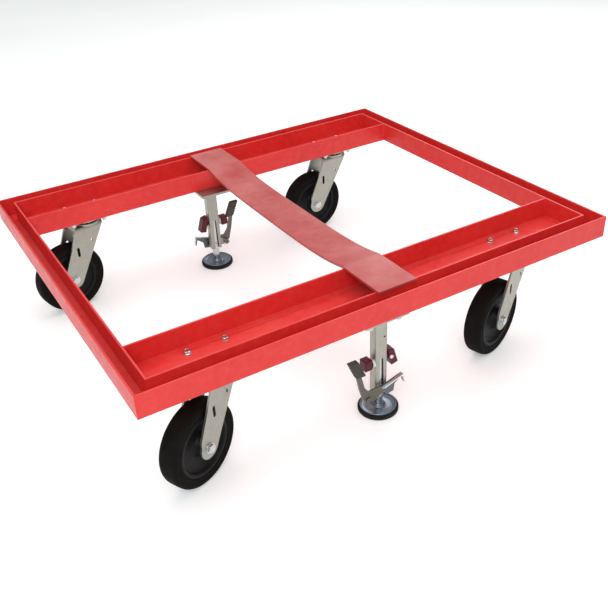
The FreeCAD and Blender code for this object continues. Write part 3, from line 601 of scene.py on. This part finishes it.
FOLD_FRONT = -21.6 * MM
WEB_START = 2 * MM
PEDAL_RIBS = 9
PEDAL_FOOT = Vector((-65, 134))
PEDAL_LEAN = Vector((-19, 44))
RIB_DEPTHS = (-29.2 * MM, -27.6 * MM)
COIL_TURNS = 3
COIL_SIDES = 12


def split_rocker():
    """The step's fold gets near-white zinc as a painted highlight, its web dark bluish zinc as painted shade, and
    the pedal arm stays dull: a material by each face's place.
    """
    for side, (x, y, turn) in LOCKS.items():
        flip = -1 if turn else 1
        rocker = NODES[f"{side}_lock_rocker"]
        rocker.data.materials.append(PAINTED_SHADE_ZINC)
        rocker.data.materials.append(CHROME_AND_HIGHLIGHT_ZINC)
        for face in rocker.data.polygons:
            centre = rocker.matrix_world @ face.center
            reach = flip * (centre.x - x)
            depth = flip * (centre.y - y)
            # Fold faces take the painted highlight, web faces the painted shade.
            if depth < FOLD_FRONT:
                face.material_index = 2
            elif reach > WEB_START:
                face.material_index = 1


def build_lock_details():
    """A coil round the left bumper's stub, the right bumper's bright screw head as a painted highlight where the
    bumper shows a glare, and ribs on the pedal's front.
    """
    for side, (x, y, turn) in LOCKS.items():
        place = Matrix.Translation((x, y, 0)) @ Matrix.Rotation(math.radians(turn), 4, "Z")
        coil = bmesh.new()
        stub = place @ along((-16.8 * MM, -3 * MM, 140 * MM), (-1, 0, 0))
        for k in range(COIL_TURNS):
            middle = (1.0 + 2.2 * k) * MM
            outline = []
            for j in range(COIL_SIDES):
                angle = 2 * math.pi * j / COIL_SIDES
                outline.append(((10.8 + 1.2 * math.cos(angle)) * MM, middle + 1.05 * MM * math.sin(angle)))
            turned(coil, stub, outline, 56)
        piece(f"{side}_stub_coil", coil, CHROME_AND_HIGHLIGHT_ZINC, "frame", sharp=60)
        # A bright screw head set where the right bumper shows a glare: a painted highlight made as a part.
        screw = bmesh.new()
        head = place @ along((28 * MM, -12 * MM, 143 * MM), (0, -1, 0))
        dome = [(0.2, -1.0), (5.2, -1.0), (5.2, 0.6), (4.4, 1.9), (2.6, 2.8), (0.2, 3.0)]
        turned(screw, head, round_corners([(r * MM, h * MM) for r, h in dome], 0.5 * MM, 3), 40)
        piece(f"{side}_bumper_glint_screw", screw, CHROME_AND_HIGHLIGHT_ZINC, "frame", sharp=60)

        ribs = bmesh.new()
        for k in range(PEDAL_RIBS):
            middle = PEDAL_FOOT + PEDAL_LEAN * ((k + 0.5) / PEDAL_RIBS)
            across, up = Vector((11.0, 0)), PEDAL_LEAN.normalized() * 1.25
            corners = [middle - across - up, middle + across - up, middle + across + up, middle - across + up]
            outline = [(c.x * MM, c.y * MM) for c in corners]
            upright = place @ Matrix(((1, 0, 0, 0), (0, 0, 1, 0), (0, 1, 0, 0), (0, 0, 0, 1)))
            prism(ribs, upright, outline, *RIB_DEPTHS)
        piece(f"{side}_pedal_ribs", ribs, GREY, f"{side}_lock_rocker", sharp=40)


build_plate_fasteners()
build_wheels()
build_feet()
build_welds()
split_rocker()
build_lock_details()


# ---------------------------------------------------------------- floor, light and camera

def build_stage():
    s = Shader("floor")
    tone = s.spread(s.noise(1.4, 3.0), 0.3, 0.7)
    s.set(color=s.blend(tone, (0.86, 0.86, 0.86), (0.90, 0.90, 0.895)), roughness=0.7, specular=0.2)
    s.main.inputs["Emission Color"].default_value = (0.90, 1.0, 1.0, 1.0)
    s.main.inputs["Emission Strength"].default_value = 0.22
    mesh = bpy.data.meshes.new("floor")
    half = 30.0
    mesh.from_pydata([(-half, -half, 0), (half, -half, 0), (half, half, 0), (-half, half, 0)],
                      [], [(0, 1, 2, 3)])
    mesh.materials.append(s.material)
    floor = bpy.data.objects.new("floor", mesh)
    bpy.context.scene.collection.objects.link(floor)


def area_light(name, position, target, size, power, color=(1, 1, 1)):
    data = bpy.data.lights.new(name, "AREA")
    data.shape = "RECTANGLE"
    data.size, data.size_y = size
    data.energy = power
    data.color = color
    light = bpy.data.objects.new(name, data)
    light.location = position
    light.rotation_euler = (Vector(target) - Vector(position)).to_track_quat("-Z", "Y").to_euler()
    bpy.context.scene.collection.objects.link(light)


def build_lights():
    world = bpy.data.worlds.new("studio")
    bpy.context.scene.world = world
    world.use_nodes = True
    background = world.node_tree.nodes["Background"]
    background.inputs["Color"].default_value = (1.0, 1.0, 1.0, 1.0)
    background.inputs["Strength"].default_value = 0.62
    area_light("key", (-1.6, -2.6, 2.6), (0, 0, 0.2), (2.4, 2.0), 60)
    area_light("top", (0.3, 0.4, 3.4), (0, 0, 0.2), (3.5, 3.0), 60)
    area_light("rim", (2.6, 1.8, 2.0), (0, 0, 0.2), (1.6, 1.6), 20)


def build_camera():
    """The camera that fits the photograph: 32 degrees down, 30 degrees off the frame's short axis."""
    forward = Vector((0.4211, 0.7321, -0.5355)).normalized()
    right = Vector((0.8522, -0.5215, -0.0429)).normalized()
    up = right.cross(forward)
    data = bpy.data.cameras.new("camera")
    data.sensor_width = 36.0
    data.lens = 800.5 / 608 * 36.0
    data.clip_end = 100.0
    camera = bpy.data.objects.new("camera", data)
    turn = Matrix((right, up, -forward)).transposed()
    camera.matrix_world = Matrix.Translation((-0.8994, -1.6396, 1.2120)) @ turn.to_4x4()
    bpy.context.scene.collection.objects.link(camera)
    bpy.context.scene.camera = camera


build_stage()
build_lights()
build_camera()
bpy.context.scene.view_settings.view_transform = "Standard"
